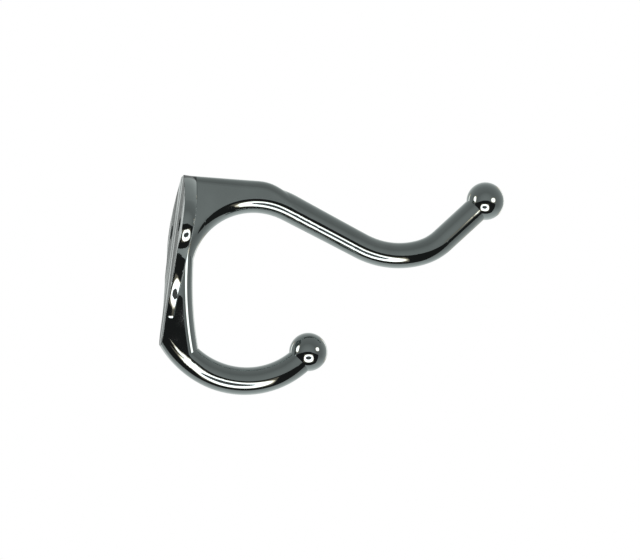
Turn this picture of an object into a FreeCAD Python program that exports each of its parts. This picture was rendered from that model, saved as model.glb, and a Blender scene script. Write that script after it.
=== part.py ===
import FreeCAD, Part
import math
import os
import Sketcher
from FreeCAD import Vector, Placement, Rotation

os.makedirs("parts", exist_ok=True)
doc = FreeCAD.newDocument("RobeHook")

# Sizes of the hook, millimetres and degrees
# +X leaves the wall, +Z is up, the origin lies on the wall face between the screw holes
SIZES = {
    # back plate outline, seen from the front
    "plate_thick": 3.75,
    "plate_lean": 2.0,
    "plate_side_round": 4.85,
    "plate_side_middle": 1.7,
    "plate_edge_round": 0.5,
    "plate_top": 16.7,
    "plate_top_half": 3.2,
    "plate_foot": -36.2,
    "shoulder_round": 45.0,
    "ear_out": 8.2,
    "ear_up": 0.5,
    "ear_round": 9.7,
    "ear_turn": 48.0,
    "waist_round": 6.0,
    "waist_lean": 12.0,
    "waist_length": 3.07,
    "hip_round": 6.0,
    "hip_turn": 40.0,
    "flank_round": 30.5,
    "flank_lean": 10.0,
    # screw holes
    "hole_out": 9.5,
    "hole_dia": 4.6,
    "sink_dia": 8.8,
    # flat web between the plate and the upper arm
    "web_half": 4.47,
    "web_rise": 4.7,
    "web_drop": 23.5,
    "web_corner_out": 27.45,
    "web_corner_round": 14.0,
    "web_end_past_mark": 1.0,
    "web_edge_round": 2.4,
    "web_end_flat": 0.27,
    "web_corner_share": 0.45,
    "foot_edge_round": 3.0,
    # upper arm, a round bar that thins towards its ball
    "root_radius": 4.43,
    "neck_radius": 4.08,
    "arch_inner": 20.0,
    "arch_out": 26.8,
    "arm_mark_past_corner": 12.55,
    "arm_mark_below_corner": 8.9,
    "arm_fall": 19.6,
    "arm_straight": 20.3,
    "dip_first_round": 26.2,
    "dip_first_turn": 44.9,
    "dip_second_round": 17.6,
    "dip_second_turn": 24.6,
    "rise_length": 19.25,
    # stem between the two arms
    "stem_top_out": 7.22,
    "stem_top_up": -13.0,
    "stem_lean": 5.3,
    "stem_round": 113.0,
    # lower arm
    "cradle_out": 24.45,
    "cradle_up": -18.3,
    "cradle_round": 26.4,
    "cradle_root": -165.0,
    "cradle_foot": -120.0,
    "cradle_tip": -32.7,
    # turns at which the swept bars begin inside the casting, or pass into the next piece of bar
    "arch_last": 183.0,
    "cradle_joint": -100.0,
    # ball tips
    "ball_radius": 6.05,
    # lengths by which inner pieces run past the faces they are cut or joined at
    "overlap": 3.0,
    "cut_margin": 20.0,
    "sink_margin": 4.0,
    "slip": 0.05,
}
sheet = doc.addObject("Spreadsheet::Sheet", "Sizes")
for row, (word, value) in enumerate(SIZES.items(), start=1):
    sheet.set("A%d" % row, word)
    sheet.set("B%d" % row, str(value))
    sheet.setAlias("B%d" % row, word)
doc.recompute()


def size(word):
    return float(sheet.get(word))


def plane(body, role):
    return next(o for o in body.Origin.OriginFeatures if o.Role == role)


def new_sketch(body, role, name):
    sketch = body.newObject("Sketcher::SketchObject", name)
    sketch.AttachmentSupport = [(plane(body, role), "")]
    sketch.MapMode = "FlatFace"
    return sketch


def arc(cx, cy, radius, start, end):
    # counter-clockwise arc, angles in radians
    circle = Part.Circle(Vector(cx, cy, 0), Vector(0, 0, 1), radius)
    return Part.ArcOfCircle(circle, start, end)


def line(a, b):
    return Part.LineSegment(Vector(a[0], a[1], 0), Vector(b[0], b[1], 0))


def bind(sketch, kind, refs, value, word, factor=""):
    index = sketch.addConstraint(Sketcher.Constraint(kind, *refs, value))
    sketch.renameConstraint(index, "d_%s_%d" % (word, index))
    sketch.setExpression("Constraints.d_%s_%d" % (word, index), factor + "Sizes." + word)


def join(sketch, pairs):
    for a, end_a, b, end_b in pairs:
        sketch.addConstraint(Sketcher.Constraint("Coincident", a, end_a, b, end_b))


def smooth(sketch, pairs):
    for a, end_a, b, end_b in pairs:
        sketch.addConstraint(Sketcher.Constraint("Tangent", a, end_a, b, end_b))


# Back plate: half outline, padded past both faces so that its bulged side is whole, and mirrored
plate = doc.addObject("PartDesign::Body", "Plate")
outline = new_sketch(plate, "YZ_Plane", "PlateOutline")
side_r, slip, overlap = size("plate_side_round"), size("slip"), size("overlap")
outline.setExpression("AttachmentOffset.Base.z",
                      "Sizes.plate_side_middle - Sizes.plate_side_round - Sizes.slip")
top_half, top = size("plate_top_half"), size("plate_top")
ear = (size("ear_out"), size("ear_up"))
ear_r, shoulder_r, flank_r = size("ear_round"), size("shoulder_round"), size("flank_round")
waist_r, hip_r = size("waist_round"), size("hip_round")
ear_turn, waist_lean, hip_turn, flank_lean = (
    math.radians(size(w)) for w in ("ear_turn", "waist_lean", "hip_turn", "flank_lean"))
foot = size("plate_foot")
# the shoulder arc holds the ear arc inside it, so their centres lie shoulder_r - ear_r apart
reach = shoulder_r - ear_r
span = math.dist(ear, (top_half, top))
turn = math.acos((reach ** 2 + span ** 2 - shoulder_r ** 2) / (2 * reach * span))
aim = math.atan2(top - ear[1], top_half - ear[0]) + turn
shoulder = (ear[0] + reach * math.cos(aim), ear[1] + reach * math.sin(aim))
ear_start = aim + math.pi


def step_from(point, distance, angle):
    return (point[0] + distance * math.cos(angle), point[1] + distance * math.sin(angle))


# below the ear the edge turns in, runs down a short waist, turns out over the hip and into the flank
p1 = (top_half, top)
p3 = step_from(ear, ear_r, -ear_turn)
waist = step_from(ear, ear_r + waist_r, -ear_turn)
p4 = step_from(waist, waist_r, math.pi - waist_lean)
p5 = step_from(p4, size("waist_length"), -math.pi / 2 - waist_lean)
hip = step_from(p5, hip_r, math.pi - waist_lean)
p6 = step_from(hip, hip_r, -hip_turn)
flank = step_from(hip, hip_r + flank_r, -hip_turn)
p7 = step_from(flank, flank_r, math.pi - flank_lean)
p8 = (p7[0] - (p7[1] - foot) * math.tan(flank_lean), foot)
start_angle = math.atan2(p1[1] - shoulder[1], p1[0] - shoulder[0])
outline.addGeometry([
    line((-overlap, top), p1),
    arc(*shoulder, shoulder_r, ear_start, start_angle),
    arc(*ear, ear_r, -ear_turn, ear_start),
    arc(*waist, waist_r, math.pi - ear_turn, math.pi - waist_lean),
    line(p4, p5),
    arc(*hip, hip_r, -hip_turn, -waist_lean),
    arc(*flank, flank_r, math.pi - hip_turn, math.pi - flank_lean),
    line(p7, p8),
    line(p8, (-overlap, foot)),
    line((-overlap, foot), (-overlap, top)),
], False)
smooth(outline, [(1, 1, 2, 2), (2, 1, 3, 1), (3, 2, 4, 1), (4, 2, 5, 2), (5, 1, 6, 1), (6, 2, 7, 1)])
join(outline, [(0, 2, 1, 2), (7, 2, 8, 1), (8, 2, 9, 1), (9, 2, 0, 1)])
for kind, index in (("Horizontal", 0), ("Horizontal", 8), ("Vertical", 9)):
    outline.addConstraint(Sketcher.Constraint(kind, index))
bind(outline, "DistanceY", (-1, 1, 0, 1), top, "plate_top")
bind(outline, "DistanceX", (0, 1, -1, 1), overlap, "overlap")
bind(outline, "DistanceX", (-1, 1, 0, 2), top_half, "plate_top_half")
bind(outline, "Radius", (1,), shoulder_r, "shoulder_round")
bind(outline, "DistanceX", (-1, 1, 2, 3), ear[0], "ear_out")
bind(outline, "DistanceY", (-1, 1, 2, 3), ear[1], "ear_up")
bind(outline, "Radius", (2,), ear_r, "ear_round")
bind(outline, "Radius", (3,), waist_r, "waist_round")
bind(outline, "Radius", (5,), hip_r, "hip_round")
bind(outline, "Distance", (4, 1, 4, 2), size("waist_length"), "waist_length")
bind(outline, "Radius", (6,), flank_r, "flank_round")
bind(outline, "DistanceY", (8, 2, -1, 1), -foot, "plate_foot", "-")
doc.recompute()
slab = plate.newObject("PartDesign::Pad", "PlateSlab")
slab.Profile = outline
slab.setExpression("Length", "2 * (Sizes.plate_side_round + Sizes.slip)")
doc.recompute()


def side_edge(edge):
    box = edge.BoundBox
    return box.XLength < 1e-5 and box.ZLength > 0.3 and box.YMax > 1


picked = ["Edge%d" % (i + 1) for i, e in enumerate(slab.Shape.Edges) if side_edge(e)]
soft = plate.newObject("PartDesign::Fillet", "PlateSideRound")
soft.Base = (slab, picked)
soft.setExpression("Radius", "Sizes.plate_side_round")
plate.Tip = soft
doc.recompute()
other = doc.addObject("Part::Mirroring", "PlateOtherHalf")
other.Source = plate
other.Normal = Vector(0, 1, 0)
doc.recompute()

# Web and stem: one flat profile in the plane of the hook, padded both ways
web = doc.addObject("PartDesign::Body", "Web")
side = new_sketch(web, "XZ_Plane", "WebProfile")
bar_r = size("root_radius")
fall, rise, drop = (math.radians(size(w)) for w in ("arm_fall", "web_rise", "web_drop"))
arch_r = size("arch_inner") + bar_r
corner = (size("web_corner_out"), top + size("web_corner_out") * math.tan(rise))
# a mark on the middle line of the upper arm, placed from the corner of the web above it
mark = (corner[0] + size("arm_mark_past_corner"), corner[1] - size("arm_mark_below_corner"))
arch_x = size("arch_out")
arm_start = (arch_x + arch_r * math.sin(fall), 0)
arm_start = (arm_start[0], mark[1] + (mark[0] - arm_start[0]) * math.tan(fall))
arch = (arch_x, arm_start[1] - arch_r * math.cos(fall))
corner_r = size("web_corner_round")
cut = corner_r * math.tan((rise + drop) / 2)
w1 = (0, top)
w2 = (corner[0] - cut * math.cos(rise), corner[1] - cut * math.sin(rise))
w3 = (corner[0] + cut * math.cos(drop), corner[1] - cut * math.sin(drop))
bend = (w2[0] + corner_r * math.sin(rise), w2[1] - corner_r * math.cos(rise))
end_out = mark[0] + size("web_end_past_mark")
w4 = (end_out, corner[1] - (end_out - corner[0]) * math.tan(drop))
along = (w4[0] - mark[0]) * math.cos(fall) - (w4[1] - mark[1]) * math.sin(fall)
w5 = (mark[0] + along * math.cos(fall), mark[1] - along * math.sin(fall))
w6 = arm_start
stem_top = (size("stem_top_out"), size("stem_top_up"))
lean = math.radians(size("stem_lean"))
stem_r = size("stem_round")
stem = (stem_top[0] + stem_r * math.cos(lean), stem_top[1] + stem_r * math.sin(lean))
# straight start of the stem, from its top mark up to the middle line of the arch
low, high = 0.0, 40.0
for _ in range(80):
    step = (low + high) / 2
    probe = (stem_top[0] - step * math.sin(lean), stem_top[1] + step * math.cos(lean))
    if probe[1] < arch[1] or math.dist(probe, arch) < arch_r:
        low = step
    else:
        high = step
stem_probe = probe
cradle = (size("cradle_out"), size("cradle_up"))
cradle_r = size("cradle_round")
foot_turn = math.radians(size("cradle_foot"))


def on_cradle(radius, angle):
    return (cradle[0] + radius * math.cos(angle), cradle[1] + radius * math.sin(angle))


# the stem front runs down to the middle line of the lower arm
span = math.dist(stem, cradle)
aim = math.atan2(stem[1] - cradle[1], stem[0] - cradle[0])
near = (span ** 2 + cradle_r ** 2 - stem_r ** 2) / (2 * span)
turn = math.acos(near / cradle_r)
low_angle = aim - turn
w9 = on_cradle(cradle_r, low_angle)
w10 = on_cradle(cradle_r, foot_turn)
under_r = cradle_r + bar_r - size("slip")
w11 = on_cradle(under_r, foot_turn)
wall_angle = -math.acos(-cradle[0] / under_r)
start_turn = -math.acos(-cradle[0] / cradle_r)
w13 = on_cradle(cradle_r, start_turn)
w12 = on_cradle(under_r, wall_angle)


def angle_of(centre, point):
    return math.atan2(point[1] - centre[1], point[0] - centre[0])


def turn_to(start, end):
    while end < start:
        end += 2 * math.pi
    return end


arch_from = angle_of(arch, w6)
arch_to = turn_to(arch_from, angle_of(arch, stem_probe))
stem_from = turn_to(0, angle_of(stem, stem_top))
stem_to = turn_to(stem_from, angle_of(stem, w9))
side.addGeometry([
    line(w1, w2),
    arc(*bend, corner_r, math.pi / 2 - drop, math.pi / 2 + rise),
    line(w3, w4),
    line(w4, w5),
    line(w5, w6),
    arc(*arch, arch_r, arch_from, arch_to),
    line(stem_probe, stem_top),
    arc(*stem, stem_r, stem_from, stem_to),
    arc(*cradle, cradle_r, start_turn, low_angle),
    line(w13, w1),
], False)
doc.recompute()
pad = web.newObject("PartDesign::Pad", "WebSlab")
pad.Profile = side
pad.Midplane = True
pad.setExpression("Length", "2 * Sizes.web_half")
doc.recompute()

foot_body = doc.addObject("PartDesign::Body", "Foot")
foot_side = new_sketch(foot_body, "XZ_Plane", "FootProfile")
foot_side.addGeometry([
    arc(*cradle, cradle_r, start_turn, foot_turn),
    line(w10, w11),
    arc(*cradle, under_r, wall_angle, foot_turn),
    line(w12, w13),
], False)
doc.recompute()
foot_pad = foot_body.newObject("PartDesign::Pad", "FootSlab")
foot_pad.Profile = foot_side
foot_pad.Midplane = True
foot_pad.setExpression("Length", "2 * Sizes.web_half")
doc.recompute()

# Rounded edges of the web: even along the top, growing to a full round where it meets the bar
top_r, foot_r = size("web_edge_round"), size("foot_edge_round")
full_r = size("web_half") - size("web_end_flat")


def near_point(point, target):
    return math.hypot(point.x - target[0], point.z - target[1]) < 1e-3


# the share of the growth that is reached at the web's corner
grown = top_r + size("web_corner_share") * (full_r - top_r)


def round_edges(name, base, plans):
    picks = []
    for i, edge in enumerate(base.Shape.Edges, start=1):
        if edge.BoundBox.YLength > 0.01:
            continue
        first, last = edge.Vertexes[0].Point, edge.Vertexes[-1].Point
        for a, b, ra, rb in plans:
            if near_point(first, a) and near_point(last, b):
                picks.append((i, ra, rb))
            elif near_point(first, b) and near_point(last, a):
                picks.append((i, rb, ra))
    result = doc.addObject("Part::Fillet", name)
    result.Base = base
    result.Edges = picks
    doc.recompute()
    if result.Shape.isNull() or not result.Shape.isValid():
        raise RuntimeError(name + " has no valid shape")
    return result


web_top = round_edges("WebTopRound", web, [
    (w1, w2, top_r, top_r), (w2, w3, top_r, grown), (w3, w4, grown, full_r)])
web_foot = round_edges("FootRound", foot_body, [(w12, w11, foot_r, full_r)])
web_front = round_edges("WebFrontRound", web_top, [
    (stem_probe, stem_top, full_r, full_r), (stem_top, w9, full_r, full_r)])

# Arms: round bars swept along their middle lines


def circle_wire(point, heading, radius):
    centre = Vector(point[0], 0, point[1])
    axis = Vector(math.cos(heading), 0, math.sin(heading))
    return Part.Wire([Part.Circle(centre, axis, radius).toShape()])


def arc_edge(centre, radius, start, end):
    ends = []
    for angle in (start, (start + end) / 2, end):
        ends.append(Vector(centre[0] + radius * math.cos(angle), 0, centre[1] + radius * math.sin(angle)))
    return Part.Arc(*ends).toShape()


def swept(path, sections):
    shell = Part.BRepOffsetAPI.MakePipeShell(path)
    shell.setFrenetMode(True)
    for section in sections:
        shell.add(section, False, False)
    shell.build()
    shell.makeSolid()
    return shell.shape()


def keep(name, shape):
    feature = doc.addObject("Part::Feature", name)
    feature.Shape = shape
    return feature


neck_r = size("neck_radius")
heading = -fall
length = size("arm_straight") + (mark[0] - w6[0]) / math.cos(fall)
point = (w6[0] + length * math.cos(heading), w6[1] + length * math.sin(heading))
path = [Part.makeLine(Vector(w6[0], 0, w6[1]), Vector(point[0], 0, point[1]))]
sections = [circle_wire(w6, heading, bar_r), circle_wire(point, heading, neck_r + size("slip"))]
for word in ("first", "second"):
    radius = size("dip_%s_round" % word)
    turn = math.radians(size("dip_%s_turn" % word))
    centre = (point[0] - radius * math.sin(heading), point[1] + radius * math.cos(heading))
    path.append(arc_edge(centre, radius, heading - math.pi / 2, heading + turn - math.pi / 2))
    heading += turn
    point = (centre[0] + radius * math.sin(heading), centre[1] - radius * math.cos(heading))
reach = size("rise_length")
ball_up = (point[0] + reach * math.cos(heading), point[1] + reach * math.sin(heading))
path.append(Part.makeLine(Vector(point[0], 0, point[1]), Vector(ball_up[0], 0, ball_up[1])))
sections.append(circle_wire(ball_up, heading, neck_r))
upper = keep("UpperArm", swept(Part.Wire(path), sections))

arch_end = turn_to(arch_from, math.radians(size("arch_last")))
arch_path = Part.Wire([arc_edge(arch, arch_r, arch_from, arch_end)])
arch_bar = keep("ArchBar", swept(arch_path, [circle_wire(w6, math.pi - fall, bar_r)]))

tip = math.radians(size("cradle_tip"))
root = math.radians(size("cradle_root"))
joint = math.radians(size("cradle_joint"))
ball_low = on_cradle(cradle_r, tip)
low_bar = keep("LowerArmRoot", swept(
    Part.Wire([arc_edge(cradle, cradle_r, root, joint)]),
    [circle_wire(on_cradle(cradle_r, root), root + math.pi / 2, bar_r)]))
low_end = keep("LowerArmEnd", swept(
    Part.Wire([arc_edge(cradle, cradle_r, joint, tip)]),
    [circle_wire(on_cradle(cradle_r, joint), joint + math.pi / 2, bar_r),
     circle_wire(ball_low, tip + math.pi / 2, neck_r)]))

# Ball tips
balls = []
for name, spot in (("UpperBall", ball_up), ("LowerBall", ball_low)):
    ball = doc.addObject("Part::Sphere", name)
    ball.setExpression("Radius", "Sizes.ball_radius")
    ball.Placement = Placement(Vector(spot[0], 0, spot[1]), Rotation())
    balls.append(ball)
doc.recompute()

# One casting: joining and cutting


def fuse(name, base, tool, refine=False):
    result = doc.addObject("Part::Fuse", name)
    result.Base, result.Tool = base, tool
    result.Refine = refine
    doc.recompute()
    if result.Shape.isNull() or not result.Shape.isValid():
        raise RuntimeError(name + " has no valid shape")
    return result


def block(name, near, far):
    box = doc.addObject("Part::Box", name)
    box.Length, box.Width, box.Height = (b - a for a, b in zip(near, far))
    box.Placement = Placement(Vector(*near), Rotation())
    return box


def cut(name, base, tool):
    result = doc.addObject("Part::Cut", name)
    result.Base, result.Tool = base, tool
    doc.recompute()
    if result.Shape.isNull() or not result.Shape.isValid():
        raise RuntimeError(name + " has no valid shape")
    return result


# Plate face, leaning with the draft of the mould, and its small front rounding
margin = size("cut_margin")
face_box = block("BeforePlate", (0, -2 * margin, -2 * margin + foot / 2), (margin, 2 * margin, 2 * margin))
lean_turn = Rotation(Vector(0, 1, 0), size("plate_lean"))
face_box.Placement = Placement(Vector(size("plate_thick"), 0, 0), lean_turn) * face_box.Placement
faced = cut("PlateFace", fuse("PlateHalves", plate, other), face_box)
plate_lean = math.radians(size("plate_lean"))


def on_front(edge):
    first, last = edge.ParameterRange
    spots = [edge.valueAt(first + (last - first) * share) for share in (0.0, 0.5, 1.0)]
    off = [(p.x - size("plate_thick")) * math.cos(plate_lean) - p.z * math.sin(plate_lean) for p in spots]
    return max(abs(value) for value in off) < 1e-3 and edge.BoundBox.ZLength > 0.3


edge_r = size("plate_edge_round")
halves = doc.addObject("Part::Fillet", "PlateEdgeRound")
halves.Base = faced
halves.Edges = [(i, edge_r, edge_r) for i, e in enumerate(faced.Shape.Edges, start=1) if on_front(e)]
doc.recompute()
if halves.Shape.isNull() or not halves.Shape.isValid():
    raise RuntimeError("the plate edge has no valid shape")

# All pieces as one solid, cut flat at the wall
spine = fuse("Spine", fuse("WebAndFoot", web_front, web_foot), halves)
upper_all = fuse("UpperBar", fuse("UpperArmBall", upper, balls[0]), arch_bar)
lower_all = fuse("LowerBar", fuse("LowerArmBall", low_end, balls[1]), low_bar)
body = fuse("Casting", fuse("SpineAndUpper", spine, upper_all), lower_all, True)
wall = block("BehindWall", (-margin, -2 * margin, -4 * margin), (0, 2 * margin, 2 * margin))
flat = cut("FlatBack", body, wall)

# Countersunk screw holes through the ears
tools = []
for sign, side_name in ((1, "Left"), (-1, "Right")):
    bore = doc.addObject("Part::Cylinder", "Bore" + side_name)
    bore.setExpression("Radius", "Sizes.hole_dia / 2")
    bore.Height = size("plate_thick") + 2 * overlap
    bore.Placement = Placement(Vector(-overlap, sign * size("hole_out"), 0), Rotation(Vector(0, 1, 0), 90))
    sink = doc.addObject("Part::Cone", "Sink" + side_name)
    depth = (size("sink_dia") - size("hole_dia")) / 2
    extra = size("sink_margin")
    sink.Radius1 = size("hole_dia") / 2
    sink.Radius2 = size("sink_dia") / 2 + extra
    sink.Height = depth + extra
    start = size("plate_thick") - depth
    sink.Placement = Placement(Vector(start, sign * size("hole_out"), 0), Rotation(Vector(0, 1, 0), 90))
    tools += [bore, sink]
drill = doc.addObject("Part::MultiFuse", "Drill")
drill.Shapes = tools
hook = doc.addObject("Part::Cut", "Hook")
hook.Base, hook.Tool = flat, drill
hook.Label = "robe_hook"
doc.recompute()
for item in doc.Objects:
    if "Invalid" in item.State or "Error" in item.State:
        raise RuntimeError(item.Name + " failed")
shape = hook.Shape
if shape.isNull() or not shape.isValid() or len(shape.Solids) != 1:
    raise RuntimeError("the hook is not one valid solid")
shape.exportStep("parts/robe_hook.step")
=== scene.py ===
"""Looks of the double robe hook: bright plating, studio surroundings and camera."""
import math

import bpy
from mathutils import Matrix, Vector


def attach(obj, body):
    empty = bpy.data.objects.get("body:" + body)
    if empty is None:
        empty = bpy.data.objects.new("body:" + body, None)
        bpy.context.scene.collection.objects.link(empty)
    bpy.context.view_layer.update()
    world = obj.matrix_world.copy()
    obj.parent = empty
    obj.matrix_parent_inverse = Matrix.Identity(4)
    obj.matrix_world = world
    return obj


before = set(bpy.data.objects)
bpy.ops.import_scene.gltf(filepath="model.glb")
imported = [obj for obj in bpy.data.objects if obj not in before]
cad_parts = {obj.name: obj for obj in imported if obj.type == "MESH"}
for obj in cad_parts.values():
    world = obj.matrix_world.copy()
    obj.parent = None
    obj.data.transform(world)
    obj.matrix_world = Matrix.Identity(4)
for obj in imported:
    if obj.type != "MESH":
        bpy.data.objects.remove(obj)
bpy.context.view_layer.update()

scene = bpy.context.scene
scene.view_settings.view_transform = "Standard"

# Camera, at the photograph's viewing angle
RIGHT = Vector((0.97673, -0.17591, 0.12274))
DOWN = Vector((0.14454, 0.11699, -0.98257))
AWAY = Vector((0.15848, 0.97743, 0.13969))
CAMERA_PLACE = Vector((-0.10235, -0.92436, -0.14154))
LENS = 168.75
SENSOR = 36.0
CLIP_START = 0.01
CLIP_END = 20.0

# Middles of the hook and of its lower ball, which the studio is set round
MIDDLE = Vector((0.050, 0.0, -0.005))
LOWER_BALL = Vector((0.0467, 0.0, -0.0325))

# The floor, and the studio walls: their greys from behind the camera, at -1, to behind the hook, at 1,
# and how they brighten from level, at 0, to straight below, at 1
FLOOR_RADIUS = 3.0
FLOOR_DEPTH = 0.30
FLOOR_COLOUR = (0.86, 0.87, 0.865, 1.0)
FLOOR_ROUGHNESS = 0.9
WALL_GREYS = (
    (-0.98, 0.50), (-0.85, 0.44), (-0.60, 0.32), (-0.35, 0.35),
    (0.0, 0.40), (0.5, 0.58), (0.8, 0.85), (1.0, 1.0),
)
WALL_TINT = (0.97, 1.0, 0.985)
WALL_GAIN_BELOW = (0.3, 0.95, 1.0, 1.7)
EVEN_LIGHT = (0.80, 0.80, 0.80, 1.0)
WHITE = (1.0, 1.0, 1.0, 1.0)
WARM_WHITE = (1.0, 0.86, 0.68, 1.0)

# The covers of the lamps
RING_COVER = {"strength": 5.0, "halo": 0.35, "core": 0.86, "squareness": 2.6}
SIDE_COVER = {"strength": 4.5, "halo": 0.42, "core": 0.72, "squareness": 2.4}
REAR_COVER = {"strength": 3.0, "halo": 0.6, "core": 0.5, "squareness": 3.0}

# Sizes of the casting, in metres, from the wall face and the screw holes
WEB_HALF = 0.00447
PLATE_FACE = 0.00375
BAR_RADIUS = 0.00443
ARCH_MIDDLE = Vector((0.0268, 0.0, -0.011175))
ARCH_RADIUS = 0.02443
CRADLE_MIDDLE = Vector((0.02445, 0.0, -0.0183))
CRADLE_RADIUS = 0.0264

# Lean of the plate's side wall below the ears, in degrees, at heights in millimetres
MILLIMETRE = 0.001
SIDE_WALL_LEANS = (
    (-36.0, 12.0), (-26.3, 13.5), (-20.9, 28.0), (-15.9, 42.5), (-13.0, 45.5), (-11.0, 47.5),
    (-10.2, 51.5), (-8.4, 53.0), (-7.6, 49.0), (-6.1, 43.0), (0.0, 3.0),
)
SIDE_WALL_DEPTH = 36.0
MOST_LEAN = 60.0

# The plating, and the ground finish of the wall face
PLATING_COLOUR = (0.272, 0.306, 0.303, 1.0)
STEM_DRAFT = 0.165
RIPPLE_HEIGHT = 8.0e-6
SCRATCH_HEIGHT = 2.6e-5
GRAIN_STRETCH = (1.0, 1.0, 0.045)
GRAIN_TURN = (math.radians(9.0), 0.0, 0.0)
# Painted shade: how dark the corner where the web meets the plate is painted
PAINTED_CORNER_SHADE = 0.30

# Where the finish changes, in metres, each as the start and end of a fade
WALL_FACE_EDGE = (0.00008, 0.0002)
WEB_SIDE = (WEB_HALF + 0.00004, WEB_HALF + 0.0002)
EARS_FOOT = (-0.0062, -0.0060)
PLATE_FRONT = (PLATE_FACE, PLATE_FACE + 0.001)
DRAFT_TOP = (-0.0225, -0.0195)
DRAFT_END = (0.007, 0.018)
DRAFT_ROUND_CRADLE = (CRADLE_RADIUS + 0.0016, CRADLE_RADIUS + 0.0028)
# Where the painted shade in the corner between web and plate lies: beside the web, on the plate face, and
# its lower edge in height
PAINTED_SHADE_BESIDE_WEB = (WEB_HALF, WEB_HALF + 0.0009)
PAINTED_SHADE_ON_PLATE = (PLATE_FACE + 0.0001, PLATE_FACE + 0.0006)
PAINTED_SHADE_FOOT = (0.004, 0.009)

# How far the surface faces aside on the stem's flat sides, and out at its front edge, each as a fade
FLAT_SIDE_SLOPE = (0.95, 0.99)
FRONT_EDGE_SLOPE = (0.10, 0.18)

# What follows noise: the two levels of the noise, and the value at each
PATCHES = (0.25, 0.75, 0.93, 1.06)
FINE_STREAKS = (0.34, 0.64, 0.45, 1.10)
BROAD_STREAKS = (0.38, 0.62, 0.50, 1.25)
SMUDGE_ROUGHNESS = (0.35, 0.80, 0.035, 0.085)
DRAFT_HAZE = (0.40, 0.64, 0.1, 1.6)
GROUND_ROUGHNESS = (0.38, 0.62, 0.62, 0.22)
BARE_METAL = (0.40, 0.56, 0.35, 1.0)

# The root of the arch: how far its web and bar stand proud of the casting, and how far the bar dips
WEB_PROUD = 5e-6
BAR_PROUD = 8e-6
END_DIP = 4e-5
ROOT_LOW = Vector((0.0040, -WEB_HALF - WEB_PROUD, -0.0045))
ROOT_HIGH = Vector((0.0088, WEB_HALF + WEB_PROUD, 0.0068))
ROUND_ARCH = Matrix.Translation(ARCH_MIDDLE) @ Matrix.Rotation(math.radians(90.0), 4, "X")
SMOOTH_ANGLE = math.radians(25.0)
NEAR_PLANE = 1e-6

# First input, second input and output of a Mix node for each kind of value
MIX_SOCKETS = {"FLOAT": (2, 3, 0), "VECTOR": (4, 5, 1), "RGBA": (6, 7, 2)}


def rest():
    """Leaves nothing selected or active, so that the next operator has only its own shape."""
    if bpy.context.object and bpy.context.object.mode != "OBJECT":
        bpy.ops.object.mode_set(mode="OBJECT")
    bpy.ops.object.select_all(action="DESELECT")
    bpy.context.view_layer.objects.active = None


def feed(tree, term, socket):
    """Gives a socket a number or colour, or the output of another node."""
    if isinstance(term, (int, float, tuple)):
        socket.default_value = term
    else:
        tree.links.new(term, socket)


def add_node(tree, kind, **settings):
    """A new node with its settings."""
    made = tree.nodes.new(kind)
    for word, value in settings.items():
        setattr(made, word, value)
    return made


def math_node(tree, operation, first, second=None):
    """The result of one sum, whose terms are numbers or the outputs of other nodes."""
    made = add_node(tree, "ShaderNodeMath", operation=operation)
    feed(tree, first, made.inputs[0])
    if second is not None:
        feed(tree, second, made.inputs[1])
    return made.outputs[0]


def product(tree, first, *others):
    """The product of two or more terms."""
    result = first
    for term in others:
        result = math_node(tree, "MULTIPLY", result, term)
    return result


def fade(tree, value, start, end, from_level=0.0, to_level=1.0, shape="SMOOTHSTEP"):
    """A step of value, smooth or straight, which is from_level up to start and to_level from end on."""
    made = add_node(tree, "ShaderNodeMapRange", interpolation_type=shape)
    feed(tree, value, made.inputs["Value"])
    feed(tree, start, made.inputs["From Min"])
    feed(tree, end, made.inputs["From Max"])
    feed(tree, from_level, made.inputs["To Min"])
    feed(tree, to_level, made.inputs["To Max"])
    return made.outputs["Result"]


def fade_out(tree, value, start, end):
    """A smooth step of value, which is 1 up to start and 0 from end on."""
    return fade(tree, value, start, end, 1.0, 0.0)


def mix(tree, kind, share, first, second, blend="MIX"):
    """A mix of two numbers, vectors or colours: the first where share is 0, the second where it is 1."""
    made = add_node(tree, "ShaderNodeMix", data_type=kind, blend_type=blend)
    first_in, second_in, mixed = MIX_SOCKETS[kind]
    feed(tree, share, made.inputs["Factor"])
    feed(tree, first, made.inputs[first_in])
    feed(tree, second, made.inputs[second_in])
    return made.outputs[mixed]


def vector_sum(tree, operation, vector, other):
    """The number that a vector and a fixed one give, such as the distance between them."""
    made = add_node(tree, "ShaderNodeVectorMath", operation=operation)
    tree.links.new(vector, made.inputs[0])
    made.inputs[1].default_value = other
    return made.outputs["Value"]


def parts_of(tree, vector):
    """The three parts of a vector: out from the wall, aside and up."""
    made = add_node(tree, "ShaderNodeSeparateXYZ")
    tree.links.new(vector, made.inputs["Vector"])
    return made.outputs


def together(tree, *parts):
    """A vector from its three parts."""
    made = add_node(tree, "ShaderNodeCombineXYZ")
    for part, socket in zip(parts, made.inputs):
        feed(tree, part, socket)
    return made.outputs["Vector"]


def placed(tree, vector, **settings):
    """A vector stretched, turned and moved by the Scale, Rotation and Location given."""
    made = add_node(tree, "ShaderNodeMapping")
    tree.links.new(vector, made.inputs["Vector"])
    for word, value in settings.items():
        made.inputs[word].default_value = value
    return made.outputs["Vector"]


def noise(tree, where, scale, detail, roughness=0.5):
    """Cloudy noise from 0 to 1, finer with a larger scale."""
    made = add_node(tree, "ShaderNodeTexNoise")
    tree.links.new(where, made.inputs["Vector"])
    made.inputs["Scale"].default_value = scale
    made.inputs["Detail"].default_value = detail
    made.inputs["Roughness"].default_value = roughness
    return made.outputs["Fac"]


def make_camera():
    """The camera of the photograph."""
    lens = bpy.data.cameras.new("photo_camera")
    lens.lens = LENS
    lens.sensor_width = SENSOR
    lens.clip_start = CLIP_START
    lens.clip_end = CLIP_END
    camera = bpy.data.objects.new("photo_camera", lens)
    turn = Matrix((RIGHT, -DOWN, -AWAY)).transposed().to_4x4()
    camera.matrix_world = Matrix.Translation(CAMERA_PLACE) @ turn
    scene.collection.objects.link(camera)
    scene.camera = camera


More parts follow.
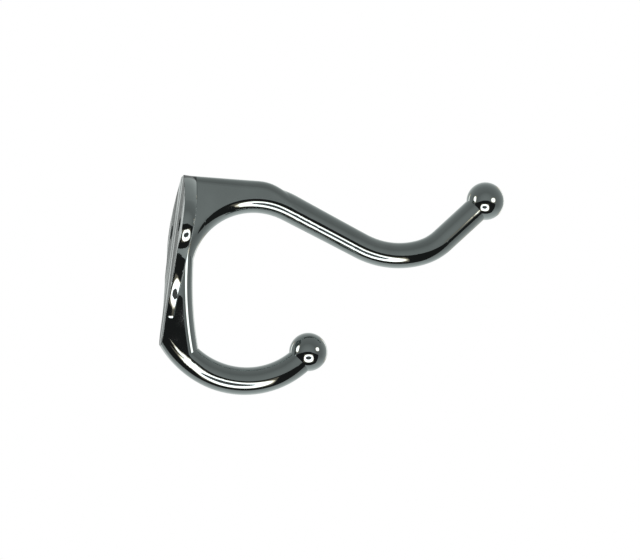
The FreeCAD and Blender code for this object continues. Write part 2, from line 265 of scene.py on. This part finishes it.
def studio_place(across, below, front):
    """A place in the studio, in metres from the middle of the hook: across, below and in front of it."""
    return MIDDLE + RIGHT * across + DOWN * below - AWAY * front


def lamp_place(across_deg, below_deg, distance, middle=MIDDLE):
    """The place so far from middle, and so many degrees across and below the line to the camera."""
    off = math.radians(math.hypot(across_deg, below_deg))
    round_axis = math.atan2(below_deg, across_deg)
    side = RIGHT * math.cos(round_axis) + DOWN * math.sin(round_axis)
    direction = (-AWAY * math.cos(off) + side * math.sin(off)).normalized()
    return middle + direction * distance


def facing(place, target, upright):
    """A turn that looks from place to target with its own Y near upright."""
    back = (place - target).normalized()
    across = upright.cross(back).normalized()
    up = back.cross(across)
    return Matrix((across, up, back)).transposed().to_4x4()


def light_material(name, strength):
    """An even white glow."""
    material = bpy.data.materials.new(name)
    material.use_nodes = True
    tree = material.node_tree
    tree.nodes.clear()
    glow = add_node(tree, "ShaderNodeEmission")
    glow.inputs["Strength"].default_value = strength
    out = add_node(tree, "ShaderNodeOutputMaterial")
    tree.links.new(glow.outputs["Emission"], out.inputs["Surface"])
    return material


def make_lamp_fade():
    """The look of a lamp cover: white inside its core, then fading to a faint warm halo at its edge."""
    tree = bpy.data.node_groups.new("lamp_fade", "ShaderNodeTree")
    for name in ("Core", "Halo", "Squareness"):
        tree.interface.new_socket(name=name, in_out="INPUT", socket_type="NodeSocketFloat")
    tree.interface.new_socket(name="Glow", in_out="OUTPUT", socket_type="NodeSocketColor")
    core, halo, squareness = add_node(tree, "NodeGroupInput").outputs[:3]
    on_cover = add_node(tree, "ShaderNodeTexCoord").outputs["UV"]
    centred = parts_of(tree, placed(tree, on_cover, Location=(-1.0, -1.0, 0.0), Scale=(2.0, 2.0, 0.0)))
    across = math_node(tree, "POWER", math_node(tree, "ABSOLUTE", centred["X"]), squareness)
    upward = math_node(tree, "POWER", math_node(tree, "ABSOLUTE", centred["Y"]), squareness)
    root = math_node(tree, "DIVIDE", 1.0, squareness)
    off_centre = math_node(tree, "POWER", math_node(tree, "ADD", across, upward), root)
    half_out = math_node(tree, "ADD", product(tree, core, 0.5), 0.5)
    tint = mix(tree, "RGBA", fade(tree, off_centre, core, half_out), WHITE, WARM_WHITE)
    dimmed = add_node(tree, "ShaderNodeVectorMath", operation="SCALE")
    tree.links.new(tint, dimmed.inputs[0])
    tree.links.new(fade(tree, off_centre, core, 1.0, 1.0, halo), dimmed.inputs["Scale"])
    out = add_node(tree, "NodeGroupOutput")
    tree.links.new(dimmed.outputs["Vector"], out.inputs["Glow"])


def soft_light_material(name, strength, halo, core, squareness):
    """A lamp cover, as bright as strength inside its core and as bright as halo at its edge."""
    material = light_material(name, strength)
    tree = material.node_tree
    cover = add_node(tree, "ShaderNodeGroup", node_tree=bpy.data.node_groups["lamp_fade"])
    cover.inputs["Core"].default_value = core
    cover.inputs["Halo"].default_value = halo / strength
    cover.inputs["Squareness"].default_value = squareness
    tree.links.new(cover.outputs["Glow"], tree.nodes["Emission"].inputs["Color"])
    return material


def only_in_reflections(thing):
    """Lets a studio thing show in the metal and nowhere else."""
    thing.visible_camera = False
    thing.visible_diffuse = False
    thing.visible_shadow = False
    thing.visible_transmission = False
    thing.visible_volume_scatter = False


def soft_box(name, place, width, height, strength, halo, core, squareness):
    """A lamp with a white cover that faces the hook."""
    rest()
    bpy.ops.mesh.primitive_plane_add(size=1.0)
    box = bpy.context.object
    box.name = name
    box.data.transform(Matrix.Diagonal((width, height, 1.0, 1.0)))
    box.matrix_world = Matrix.Translation(place) @ facing(place, MIDDLE, -DOWN)
    box.data.materials.append(soft_light_material(name + "_glow", strength, halo, core, squareness))
    only_in_reflections(box)
    return box


def ring_lamp(place, width, height, shift, hole_size, hole_shift, hole_glow):
    """The large lamp below the camera, bright round a dark hole."""
    lamp = soft_box("ring_lamp", place, width, height, **RING_COVER)
    lamp.data.transform(Matrix.Translation((*shift, 0.0)))
    rest()
    bpy.ops.mesh.primitive_circle_add(vertices=48, radius=1.0, fill_type="NGON")
    hole = bpy.context.object
    hole.name = "ring_lamp_hole"
    hole.data.transform(Matrix.Diagonal((*hole_size, 1.0, 1.0)))
    hole.data.transform(Matrix.Translation(hole_shift))
    hole.matrix_world = lamp.matrix_world.copy()
    hole.data.materials.append(light_material("ring_lamp_hole_dark", hole_glow))
    only_in_reflections(hole)


def dark_cloth(corners, below, rise, glow):
    """The black cover below the camera, rising to the front, by its corners across and in front."""
    rest()
    bpy.ops.mesh.primitive_circle_add(vertices=len(corners), radius=1.0, fill_type="NGON")
    cloth = bpy.context.object
    cloth.name = "dark_cloth"
    for vertex, (across, front) in zip(cloth.data.vertices, corners):
        vertex.co = studio_place(across, below - rise * front, front)
    cloth.data.materials.append(light_material("dark_cloth_black", glow))
    only_in_reflections(cloth)


def make_floor():
    """The plain pale floor, which the metal doesn't mirror."""
    rest()
    bpy.ops.mesh.primitive_circle_add(vertices=96, radius=FLOOR_RADIUS, fill_type="NGON",
                                      location=(MIDDLE.x, 0.0, -FLOOR_DEPTH))
    floor = bpy.context.object
    floor.name = "floor"
    material = bpy.data.materials.new("pale_floor")
    material.use_nodes = True
    shader = material.node_tree.nodes["Principled BSDF"]
    shader.inputs["Base Color"].default_value = FLOOR_COLOUR
    shader.inputs["Roughness"].default_value = FLOOR_ROUGHNESS
    floor.data.materials.append(material)
    floor.visible_glossy = False


def wall_greys(tree, forward):
    """The grey of the studio walls, from behind the camera, where forward is -1, to behind the hook."""
    ramp = add_node(tree, "ShaderNodeValToRGB")
    tree.links.new(fade(tree, forward, -1.0, 1.0, shape="LINEAR"), ramp.inputs["Fac"])
    stops = ramp.color_ramp.elements
    while len(stops) > 1:
        stops.remove(stops[-1])
    for number, (place, grey) in enumerate(WALL_GREYS):
        share = 0.5 * (place + 1.0)
        stop = stops[0] if number == 0 else stops.new(share)
        stop.position = share
        stop.color = (*(grey * tint for tint in WALL_TINT), 1.0)
    return ramp.outputs["Color"]


def background(tree, colour, strength=1.0):
    """One kind of surroundings."""
    made = add_node(tree, "ShaderNodeBackground")
    feed(tree, colour, made.inputs["Color"])
    feed(tree, strength, made.inputs["Strength"])
    return made.outputs["Background"]


def either(tree, rays, others_see, they_see):
    """Surroundings that one kind of ray sees and the others don't."""
    made = add_node(tree, "ShaderNodeMixShader")
    tree.links.new(rays, made.inputs["Fac"])
    tree.links.new(others_see, made.inputs[1])
    tree.links.new(they_see, made.inputs[2])
    return made.outputs["Shader"]


def make_world():
    """Studio walls that show in the metal, an even light, and a white backdrop behind the hook."""
    world = bpy.data.worlds.new("studio")
    scene.world = world
    world.use_nodes = True
    tree = world.node_tree
    tree.nodes.clear()
    direction = add_node(tree, "ShaderNodeTexCoord").outputs["Generated"]
    greys = wall_greys(tree, vector_sum(tree, "DOT_PRODUCT", direction, AWAY))
    gain = fade(tree, vector_sum(tree, "DOT_PRODUCT", direction, DOWN), *WALL_GAIN_BELOW)
    path = add_node(tree, "ShaderNodeLightPath")
    walls = background(tree, greys, gain)
    lighting = either(tree, path.outputs["Is Glossy Ray"], background(tree, EVEN_LIGHT), walls)
    seen = either(tree, path.outputs["Is Camera Ray"], lighting, background(tree, WHITE))
    out = add_node(tree, "ShaderNodeOutputWorld")
    tree.links.new(seen, out.inputs["Surface"])


def side_wall_lean(tree, up):
    """How far the plate's side wall leans down at each height, in radians."""
    curve = add_node(tree, "ShaderNodeFloatCurve")
    share = fade(tree, up, -SIDE_WALL_DEPTH * MILLIMETRE, 0.0, shape="LINEAR")
    tree.links.new(share, curve.inputs["Value"])
    points = curve.mapping.curves[0].points
    while len(points) < len(SIDE_WALL_LEANS):
        points.new(0.5, 0.5)
    for point, (height, lean) in zip(points, SIDE_WALL_LEANS):
        point.location = ((height + SIDE_WALL_DEPTH) / SIDE_WALL_DEPTH, lean / MOST_LEAN)
        point.handle_type = "AUTO_CLAMPED"
    curve.mapping.update()
    return product(tree, curve.outputs["Value"], math.radians(MOST_LEAN))


def side_wall_slope(tree, aside, up, normal_out):
    """The slope of the plate's drawn-in side wall, which faces out from the wall as the casting does."""
    lean = side_wall_lean(tree, up)
    remainder = math_node(tree, "SUBTRACT", 1.0, product(tree, normal_out, normal_out))
    level = math_node(tree, "SQRT", remainder)
    slope_aside = product(tree, math_node(tree, "COSINE", lean), level, math_node(tree, "SIGN", aside))
    slope_up = product(tree, math_node(tree, "SINE", lean), product(tree, level, -1.0))
    return together(tree, normal_out, slope_aside, slope_up)


def stem_draft(tree, where, out, up, normal_out, normal_aside):
    """How far the stem's flat sides lean down, as a slope, from the plate to the inside of the cradle."""
    low_down = fade(tree, up, *DRAFT_TOP, STEM_DRAFT, 0.0)
    on_flat_side = fade(tree, math_node(tree, "ABSOLUTE", normal_aside), *FLAT_SIDE_SLOPE)
    off_front_edge = fade_out(tree, normal_out, *FRONT_EDGE_SLOPE)
    inside_cradle = fade_out(tree, vector_sum(tree, "DISTANCE", where, CRADLE_MIDDLE), *DRAFT_ROUND_CRADLE)
    near_plate = fade_out(tree, out, *DRAFT_END)
    return product(tree, low_down, on_flat_side, off_front_edge, inside_cradle, near_plate)


def make_plating():
    """The bright plating of the casting, with the ground finish of its wall face."""
    plating = bpy.data.materials.new("bright_plating")
    plating.use_nodes = True
    tree = plating.node_tree
    link = tree.links.new
    shader = tree.nodes["Principled BSDF"]
    shader.inputs["Metallic"].default_value = 1.0
    where = add_node(tree, "ShaderNodeTexCoord").outputs["Object"]
    out, aside, up = parts_of(tree, where)
    beside = math_node(tree, "ABSOLUTE", aside)
    on_wall_face = fade_out(tree, out, *WALL_FACE_EDGE)

    # slopes of the plate's side wall and of the stem's flat sides
    normal = add_node(tree, "ShaderNodeNewGeometry").outputs["Normal"]
    normal_out, normal_aside, normal_up = parts_of(tree, normal)
    beside_web = fade(tree, beside, *WEB_SIDE)
    below_ears = fade_out(tree, up, *EARS_FOOT)
    behind_face = fade_out(tree, out, *PLATE_FRONT)
    on_side_wall = product(tree, beside_web, below_ears, behind_face)
    draft = stem_draft(tree, where, out, up, normal_out, normal_aside)
    drafted = together(tree, normal_out, normal_aside, math_node(tree, "SUBTRACT", normal_up, draft))
    drawn_in = side_wall_slope(tree, aside, up, normal_out)
    even = add_node(tree, "ShaderNodeVectorMath", operation="NORMALIZE")
    link(mix(tree, "VECTOR", on_side_wall, drafted, drawn_in), even.inputs[0])

    # ripple of the plating, and scratches of the wall face
    along_grain = placed(tree, where, Scale=GRAIN_STRETCH, Rotation=GRAIN_TURN)
    grain = noise(tree, along_grain, scale=1500.0, detail=4.0, roughness=0.65)
    stains = noise(tree, along_grain, scale=330.0, detail=2.0)
    ripple = product(tree, noise(tree, where, scale=170.0, detail=1.5), RIPPLE_HEIGHT)
    scratches = product(tree, grain, on_wall_face, SCRATCH_HEIGHT)
    bump = add_node(tree, "ShaderNodeBump")
    bump.inputs["Distance"].default_value = 1.0
    link(math_node(tree, "ADD", ripple, scratches), bump.inputs["Height"])
    link(even.outputs["Vector"], bump.inputs["Normal"])
    link(bump.outputs["Normal"], shader.inputs["Normal"])

    # tone: uneven patches, painted shade darkening the corner where the web meets the plate, and streaks
    # on the wall face
    patches = fade(tree, noise(tree, where, scale=95.0, detail=4.0), *PATCHES)
    # painted shade: the corner where the web meets the plate is darkened in colour, as shade would fall
    # there
    beside_shaded_corner = fade_out(tree, beside, *PAINTED_SHADE_BESIDE_WEB)
    before_shaded_corner = fade_out(tree, out, *PAINTED_SHADE_ON_PLATE)
    in_painted_shade = product(tree, beside_shaded_corner, before_shaded_corner, fade(tree, up, *PAINTED_SHADE_FOOT))
    painted_corner_shade = fade(tree, in_painted_shade, 0.0, 1.0, 1.0, PAINTED_CORNER_SHADE)
    streaks = product(tree, fade(tree, grain, *FINE_STREAKS), fade(tree, stains, *BROAD_STREAKS))
    shade = mix(tree, "FLOAT", on_wall_face, product(tree, patches, painted_corner_shade), streaks)
    shades = together(tree, shade, shade, shade)
    link(mix(tree, "RGBA", 1.0, PLATING_COLOUR, shades, blend="MULTIPLY"), shader.inputs["Base Color"])

    # gloss: faint smudges, haze on the stem's flat sides, and a duller, less bare wall face
    smudges = noise(tree, where, scale=60.0, detail=6.0)
    haze = product(tree, draft, fade(tree, smudges, *DRAFT_HAZE))
    plated = math_node(tree, "ADD", fade(tree, smudges, *SMUDGE_ROUGHNESS), haze)
    ground = fade(tree, stains, *GROUND_ROUGHNESS)
    link(mix(tree, "FLOAT", on_wall_face, plated, ground), shader.inputs["Roughness"])
    link(mix(tree, "FLOAT", on_wall_face, 1.0, fade(tree, stains, *BARE_METAL)), shader.inputs["Metallic"])
    return plating


def arch_root_web():
    """The flat web at the root of the arch, outside the middle line of the bar."""
    rest()
    bpy.ops.mesh.primitive_cylinder_add(vertices=720, radius=ARCH_RADIUS, depth=0.03)
    core = bpy.context.object
    core.data.transform(ROUND_ARCH)
    rest()
    bpy.ops.mesh.primitive_cube_add(size=1.0)
    web = bpy.context.object
    web.name = "arch_root"
    size = ROOT_HIGH - ROOT_LOW
    web.data.transform(Matrix.Translation((ROOT_LOW + ROOT_HIGH) / 2) @ Matrix.Diagonal((*size, 1.0)))
    cut = web.modifiers.new("arch", "BOOLEAN")
    cut.operation = "DIFFERENCE"
    cut.solver = "EXACT"
    cut.object = core
    bpy.ops.object.modifier_apply(modifier=cut.name)
    bpy.data.objects.remove(core)
    return web


def arch_root_bar():
    """The bar at the root of the arch, cut as the web is, with its far end dipped into the casting."""
    rest()
    bpy.ops.mesh.primitive_torus_add(major_radius=ARCH_RADIUS, minor_radius=BAR_RADIUS + BAR_PROUD,
                                     major_segments=288, minor_segments=96)
    bar = bpy.context.object
    bar.data.transform(ROUND_ARCH)
    bpy.ops.object.mode_set(mode="EDIT")
    cuts = ((ROOT_LOW, (-1, 0, 0)), (ROOT_HIGH, (1, 0, 0)), (ROOT_LOW, (0, 0, -1)), (ROOT_HIGH, (0, 0, 1)))
    for point, outward in cuts:
        bpy.ops.mesh.select_all(action="SELECT")
        bpy.ops.mesh.bisect(plane_co=point, plane_no=outward, clear_outer=True, use_fill=True)
    bpy.ops.object.mode_set(mode="OBJECT")
    for vertex in bar.data.vertices:
        if vertex.co.x > ROOT_HIGH.x - NEAR_PLANE:
            from_middle = Vector((vertex.co.x - ARCH_MIDDLE.x, 0.0, vertex.co.z - ARCH_MIDDLE.z))
            middle_line = ARCH_MIDDLE + from_middle.normalized() * ARCH_RADIUS
            vertex.co += (middle_line - vertex.co).normalized() * END_DIP
    return bar


def make_arch_root(plating):
    """The root of the arch: the flat web and the bar, as one piece that covers the casting's own."""
    root = arch_root_web()
    bar = arch_root_bar()
    root.select_set(True)
    bar.select_set(True)
    bpy.context.view_layer.objects.active = root
    bpy.ops.object.join()
    bpy.ops.object.shade_smooth_by_angle(angle=SMOOTH_ANGLE)
    root.data.materials.clear()
    root.data.materials.append(plating)
    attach(root, "root")


make_camera()
make_world()
make_floor()
make_lamp_fade()
dark_cloth(corners=((-2.6, 0.04), (0.40, 0.05), (1.9, 0.9), (1.9, 9.0), (-2.6, 9.0)),
           below=0.65, rise=0.115, glow=0.03)
ring_lamp(lamp_place(0.7, 40.3, 0.34), width=0.335, height=0.315, shift=(0.008, -0.006),
          hole_size=(0.096, 0.062), hole_shift=(0.002, 0.014, -0.004), hole_glow=0.16)
left_place = lamp_place(-67.0, -22.0, 0.40, LOWER_BALL)
soft_box("left_soft_box", left_place, width=0.155, height=0.28, **SIDE_COVER)
right_place = lamp_place(56.0, -10.5, 0.229)
soft_box("right_soft_box", right_place, width=0.104, height=0.094, **SIDE_COVER)
soft_box("rear_right_strip", lamp_place(148.0, -18.0, 0.7), width=0.12, height=0.7, **REAR_COVER)
soft_box("rear_left_strip", lamp_place(-126.0, -8.0, 0.7), width=0.12, height=0.7, **REAR_COVER)

plating = make_plating()
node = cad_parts["robe_hook"]
node.data.materials.clear()
node.data.materials.append(plating)
make_arch_root(plating)

rest()
